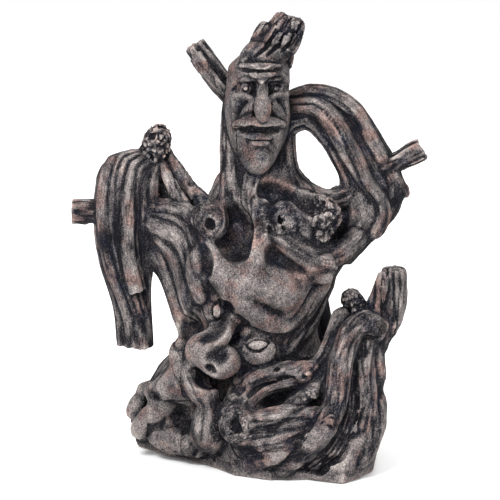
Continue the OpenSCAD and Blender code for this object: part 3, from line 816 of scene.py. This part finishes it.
def carve_head(field):
    """The carved mask: brow, eyes, nose, lip ledge and mouth, and the hair that sweeps up."""
    head = Hand(field, "head")
    # both sides of the hair are trimmed, then its locks and the partings between them are drawn
    head.lump((-44, 0, 78), (50, 90, 50), 3, cut=True)
    head.lump((88, 0, 37), (60, 90, 60), 3, cut=True)
    hair = (((-20, 34), (-10, 39), (-1, 46), (4, 54), (7, 64)),
            ((-12, 35), (0, 40), (9, 48), (15, 58), (18, 69)),
            ((0, 37), (11, 42), (18, 50), (23, 59), (27, 70)),
            ((10, 37), (20, 42), (25, 50), (28, 58), (31, 65)))
    for lock in hair:
        head.stroke(5, 1.6, 5, *lock[1:], taper=0.7)
    for lock in hair[:3]:
        partings = [(x + 4.5 + 0.06 * z, z + 2) for x, z in lock[1:]]
        head.stroke(1.5, -3.0, 1.5, *partings, taper=0.4)
    # brow
    head.stroke(7, 2.5, 4, (-7, 25), (3.5, 24), (13, 25), taper=0.7)
    head.stroke(4, 2.0, 3, (3.5, 22), (3.5, 18), taper=0.9)
    head.stroke(2.2, 1.4, 1.5, (-14, 33.5), (3, 34.5), (18, 33.5), taper=0.7)
    head.stroke(1.5, -2.6, 0.8, (-12.5, 30.5), (3, 31), (16.5, 30.5), taper=0.5)
    # each eye: socket, lid, ball, rim and pupil, then the cheek hollow and the fold by the nose
    for side, x in ((-1, -9.5), (1, 15)):
        inner, outer = x - side * 5, x + side * 6
        head.stroke(8, -2.4, 4, (outer + side * 2, 16), (inner, 17), taper=0.8)
        head.stroke(3, -1.8, 2.5, (inner, 21), (inner + side, 10))
        head.stroke(2.5, 1.4, 2, (outer + side * 3, 19), (outer, 23), (x, 25), (inner, 24))
        head.stroke(5.2, 4.6, 0.8, (x, 16.2))
        head.ring(1.1, 0.8, 1, (x, 16.2), 6.0, 5.4)
        head.ring(0.8, -0.9, 0.5, (x, 16.2), 2.7, 2.7)
        head.stroke(1.3, 0.7, 0.4, (x, 16.2))
        head.stroke(1.2, -1.2, 1, (outer + side * 3, 16), (outer + side * 5, 13.5))
        head.stroke(3, 1.4, 3, (outer + side * 2, 10), (x, 7.5), (inner, 8.5))
        head.stroke(9, -2.0, 5, (outer - side, 3), (outer, -4), taper=0.8)
        flap = 3.5 + side * 8
        fold = ((flap - side, 3), (flap + side * 3, -5), (flap + side * 6, -9))
        head.stroke(4.5, 3, 3, *fold, taper=0.7)
        head.stroke(1.2, -2.0, 0.8, (flap - side, 5), (flap - side * 2, -2), (flap - side * 3, -9))
    # nose, lip ledge, mouth, chin and the lines beside the face
    head.stroke(3.4, 1.5, 2.5, (3.5, 18), (3.5, 8), taper=0.9)
    head.stroke(5.5, 2.0, 3, (3.5, 8), (3.5, -2), taper=0.8)
    head.stroke(3.5, 0.6, 2, (3.5, -3), (3.5, -8), taper=0.8)
    head.stroke(3.5, 2.5, 3, (-19, -13), (-10, -10.5), (4, -10), (13, -10.5), (20, -13))
    head.stroke(5, -4.5, 1.0, (-14, -17.5), (-4, -16), (9, -16), (16, -17.5))
    head.stroke(1.0, -1.8, 0.6, (-21, -14.5), (-10, -13), (4, -12.5), (12, -13), (21.5, -14.5))
    head.stroke(2.4, 1.8, 1.5, (-8, -22.5), (1, -21.5), (10, -22.5), taper=0.7)
    head.stroke(1.1, -2.2, 0.5, (-8.5, -24.5), (1, -24.2), (10, -24.5))
    head.stroke(2.6, 1.2, 2, (-6, -27.5), (8, -27.5), taper=0.7)
    head.stroke(8, 2, 4, (1, -38), (1, -44), taper=0.8)
    head.stroke(0.9, -1.4, 0.8, (-17, -21), (-16.5, -37))
    head.stroke(1.0, -1.8, 0.8, (-22.5, 35), (-23.5, 20))


# ---------------------------------------------------------------- meshes

def layer(mesh, name, values):
    """Stores one number per point for the material to read."""
    data = mesh.attributes.new(name, "FLOAT", "POINT")
    data.data.foreach_set("value", np.asarray(values, np.float32))


def build(field, name, collection):
    """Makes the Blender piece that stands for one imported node."""
    points, faces = field.mesh(name)
    mesh = bpy.data.meshes.new("clay_" + name)
    mesh.vertices.add(len(points))
    mesh.vertices.foreach_set("co", (points * MM).astype(np.float32).ravel())
    mesh.loops.add(faces.size)
    mesh.loops.foreach_set("vertex_index", faces.astype(np.int32).ravel())
    mesh.polygons.add(len(faces))
    mesh.polygons.foreach_set("loop_start", np.arange(0, faces.size, 3, dtype=np.int32))
    mesh.update(calc_edges=True)
    mesh.polygons.foreach_set("use_smooth", np.ones(len(faces), bool))
    layer(mesh, "ridge", field.read(field.ridge, points))
    layer(mesh, "groove", field.read(field.groove, points))
    # hollow depths, which the material turns into painted shade
    layer(mesh, "sunk", field.read(field.sunk, points, field.coarse))
    layer(mesh, "dip", field.read(field.dip, points, field.coarse))
    grain = mesh.attributes.new("grain", "FLOAT_VECTOR", "POINT")
    grain.data.foreach_set("vector", grain_of(name, points).astype(np.float32).ravel())
    piece = bpy.data.objects.new("clay_" + name, mesh)
    collection.objects.link(piece)
    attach(piece, "root")
    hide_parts(name)
    return piece


# ---------------------------------------------------------------- materials

class Graph:
    """A small helper that makes shader nodes and joins them up."""

    def __init__(self, name):
        self.material = bpy.data.materials.new(name)
        self.material.use_nodes = True
        self.tree = self.material.node_tree
        self.shader = self.tree.nodes["Principled BSDF"]

    def node(self, kind, inputs=(), **settings):
        made = self.tree.nodes.new(kind)
        for key, value in settings.items():
            setattr(made, key, value)
        for key, value in dict(inputs).items():
            self.feed(made.inputs[key], value)
        return made

    def feed(self, socket, value):
        if isinstance(value, bpy.types.NodeSocket):
            self.tree.links.new(value, socket)
        else:
            socket.default_value = value

    def attribute(self, name, output="Fac"):
        return self.node("ShaderNodeAttribute", attribute_name=name).outputs[output]

    def math(self, operation, a, b=0.0, clamp=False):
        made = self.node("ShaderNodeMath", operation=operation, use_clamp=clamp)
        self.feed(made.inputs[0], a)
        self.feed(made.inputs[1], b)
        return made.outputs[0]

    def band(self, value, low, high, to_low=0.0, to_high=1.0):
        keys = {"Value": value, "From Min": low, "From Max": high, "To Min": to_low, "To Max": to_high}
        return self.node("ShaderNodeMapRange", keys, interpolation_type="SMOOTHSTEP").outputs[0]

    def noise(self, vector, wave, detail=3.0, rough=0.6):
        """Noise whose features are about wave millimetres, on a vector in millimetres."""
        keys = {"Vector": vector, "Scale": 1.0 / wave, "Detail": detail, "Roughness": rough}
        return self.node("ShaderNodeTexNoise", keys).outputs["Fac"]

    def mix(self, share, a, b, blend="MIX"):
        made = self.node("ShaderNodeMix", data_type="RGBA", blend_type=blend)
        self.feed(made.inputs[0], share)
        self.feed(made.inputs[6], a)
        self.feed(made.inputs[7], b)
        return made.outputs[2]

    def ramp(self, value, stops):
        made = self.node("ShaderNodeValToRGB", {"Fac": value})
        line = made.color_ramp
        while len(line.elements) < len(stops):
            line.elements.new(0.5)
        for element, (place, colour) in zip(line.elements, stops):
            element.position = place
            element.color = (*colour, 1)
        return made.outputs["Color"]


# tone ramp: near-black wash and painted shade at the dark end, pale dry-brushed ash at the light end
WASH_AND_SHADE = [(0.0, (0.002, 0.002, 0.003)), (0.20, (0.009, 0.009, 0.012)),
        (0.42, (0.080, 0.072, 0.073)), (0.66, (0.235, 0.205, 0.195)), (1.0, (0.56, 0.51, 0.47))]
RUST_TINT = (1.0, 0.66, 0.59, 1)
SLATE_TINT = (0.80, 0.95, 1.30, 1)
PALE_SHARE = 0.52      # how much ridges lighten the wash
MIDDLE_TONE = 0.22     # tone of a flat stretch
DARKEST_TONE = -0.08   # deepest that the wash and the painted shade of hollows alone can take it


def clay(name, light=0.0, rust=0.65, gritty=1.0):
    """Dark washed clay, dry-brushed with pale ash on whatever stands proud, with painted shade
    darkening its hollows.

    light shifts the tone, rust is the strength of the warm patches, and gritty that of the specks.
    """
    g = Graph(name)
    place = g.node("ShaderNodeTexCoord").outputs["Object"]
    place = g.node("ShaderNodeVectorMath", {0: place, 3: 1 / MM}, operation="SCALE").outputs[0]
    grain = g.attribute("grain", "Vector")
    patch = g.noise(place, 34, 2)
    blotch = g.noise(place, 9, 3)
    fibre = g.noise(grain, 1.5, 2, 0.7)
    speck = g.noise(place, 1.0, 2, 0.8)
    ridge = g.band(g.attribute("ridge"), -0.9, 1.3)
    groove = g.attribute("groove")
    # how deep a point lies in wide and in narrow hollows, used for painted shade
    sunk = g.band(g.attribute("sunk"), 0.5, 0.85)
    dip = g.band(g.attribute("dip"), 0.45, 0.75)

    tone = g.math("MULTIPLY", ridge, PALE_SHARE)
    # groove darkens tooled lines and seams with the dark wash; sunk and dip darken hollows as painted
    # shade, together with the wash that pools there
    for shade, share in ((groove, 0.30), (sunk, 0.17), (dip, 0.20)):
        tone = g.math("SUBTRACT", tone, g.math("MULTIPLY", shade, share))
    tone = g.math("MAXIMUM", tone, DARKEST_TONE)
    for grit, share in ((speck, 1.05 * gritty), (fibre, 0.6), (blotch, 0.35), (patch, 0.5)):
        tone = g.math("ADD", tone, g.math("MULTIPLY", g.math("SUBTRACT", grit, 0.5), share))
    tone = g.math("ADD", tone, MIDDLE_TONE + light, clamp=True)
    colour = g.ramp(tone, WASH_AND_SHADE)
    warm = g.band(g.noise(place, 20, 3), 0.47, 0.64)
    warm = g.math("MULTIPLY", warm, g.band(tone, 0.12, 0.4))
    warm = g.math("MULTIPLY", warm, rust)
    colour = g.mix(warm, colour, RUST_TINT, "MULTIPLY")
    cool = g.band(g.noise(place, 19, 2), 0.50, 0.66)
    cool = g.math("MULTIPLY", cool, g.band(tone, 0.5, 0.1))
    colour = g.mix(cool, colour, SLATE_TINT, "MULTIPLY")
    g.feed(g.shader.inputs["Base Color"], colour)
    g.feed(g.shader.inputs["Roughness"], g.band(speck, 0.3, 0.7, 0.72, 0.92))
    g.feed(g.shader.inputs["Specular IOR Level"], 0.10)
    height = g.math("MULTIPLY", speck, 0.45)
    height = g.math("ADD", height, g.math("MULTIPLY", fibre, 0.75))
    height = g.math("ADD", height, g.math("MULTIPLY", g.noise(place, 2.3, 2, 0.7), 0.7))
    bump = g.node("ShaderNodeBump", {"Strength": 0.9, "Distance": 0.9 * MM, "Height": height})
    g.feed(g.shader.inputs["Normal"], bump.outputs[0])
    return g.material


def plain(name, colour):
    """A matt material of one colour."""
    g = Graph(name)
    g.feed(g.shader.inputs["Base Color"], (*colour, 1))
    g.feed(g.shader.inputs["Roughness"], 0.9)
    g.feed(g.shader.inputs["Specular IOR Level"], 0.1)
    return g.material


# ---------------------------------------------------------------- studio

LIGHTS = (("key", (-0.7, -1.3, 1.6), 0.6, 42),
          ("fill", (1.2, -1.2, 0.7), 0.9, 7),
          ("rim", (0.3, 1.4, 1.2), 0.9, 16))
AIM_SHIFT = (0.0015, 0.001, 0.0083)   # right of, in front of and below the middle of the part
CAMERA_TILT = math.radians(12)
CAMERA_DISTANCE = 3.0
LENS_MM = 270
SENSOR_MM = 36
FLOOR_HALF = 4.0
FLOOR_GAP = 0.0005
PAPER = (0.92, 0.92, 0.92)


def area_light(name, place, aim, size, watts):
    """A round soft light at place that points at aim."""
    data = bpy.data.lights.new(name, "AREA")
    data.shape = "DISK"
    data.size = size
    data.energy = watts
    lamp = bpy.data.objects.new(name, data)
    lamp.location = place
    lamp.rotation_euler = (Vector(aim) - Vector(place)).to_track_quat("-Z", "Y").to_euler()
    bpy.context.scene.collection.objects.link(lamp)


def studio(low, high):
    """Floor, soft lights, white surround and the camera."""
    middle = (Vector(low) + Vector(high)) / 2
    right, ahead, below = AIM_SHIFT
    aim = Vector((middle.x + right, middle.y - ahead, middle.z - below))
    data = bpy.data.cameras.new("camera")
    data.lens = LENS_MM
    data.sensor_width = SENSOR_MM
    camera = bpy.data.objects.new("camera", data)
    away = Vector((0, -math.cos(CAMERA_TILT), math.sin(CAMERA_TILT)))
    camera.location = aim + CAMERA_DISTANCE * away
    camera.rotation_euler = (math.pi / 2 - CAMERA_TILT, 0, 0)
    bpy.context.scene.collection.objects.link(camera)
    bpy.context.scene.camera = camera

    mesh = bpy.data.meshes.new("floor")
    half = FLOOR_HALF
    corners = [(-half, -half, 0), (half, -half, 0), (half, half, 0), (-half, half, 0)]
    mesh.from_pydata(corners, [], [(0, 1, 2, 3)])
    floor = bpy.data.objects.new("floor", mesh)
    floor.location.z = low[2] - FLOOR_GAP
    mesh.materials.append(plain("floor_paper", PAPER))
    bpy.context.scene.collection.objects.link(floor)

    world = bpy.data.worlds.new("studio")
    world.use_nodes = True
    world.node_tree.nodes["Background"].inputs["Color"].default_value = (1, 1, 1, 1)
    world.node_tree.nodes["Background"].inputs["Strength"].default_value = 1.0
    bpy.context.scene.world = world
    for name, place, size, watts in LIGHTS:
        area_light(name, place, middle, size, watts)
    bpy.context.scene.view_settings.view_transform = "Standard"


# ---------------------------------------------------------------- assembly

low_mm, high_mm = (np.array(corner) / MM for corner in CAD_BOX)
body = Field(low_mm - MARGIN, high_mm + MARGIN, VOXEL, BODY_PIECES)
carve_torso(body)
carve_trunk(body)
carve_base(body)
texture(body)
body.stand(low_mm[2])
body.survey()
head_low = np.min([PIECES[n].low for n in HEAD_PIECES], 0)
head_high = np.max([PIECES[n].high for n in HEAD_PIECES], 0)
face = Field(head_low - MARGIN, head_high + MARGIN, FINE_VOXEL, HEAD_PIECES)
carve_head(face)
texture(face)
face.survey()

MATERIALS = {
    "washed_clay": clay("washed_clay"),
    "burl_clay": clay("burl_clay", light=-0.04, rust=0.4, gritty=1.2),
    "bare_clay": clay("bare_clay", light=-0.02, rust=0.3),
}
BURLS = ("shoulder_burl", "top_burl", "root_knots", "knot_collar", "chest_knots")
SLOTS = {name: "burl_clay" if name in BURLS else "washed_clay" for name in PIECES}
SLOTS["base_plinth"] = "bare_clay"
for field, names in ((body, BODY_PIECES), (face, HEAD_PIECES)):
    for name in names:
        piece = build(field, name, bpy.context.scene.collection)
        piece.data.materials.append(MATERIALS[SLOTS[name]])

studio(*CAD_BOX)
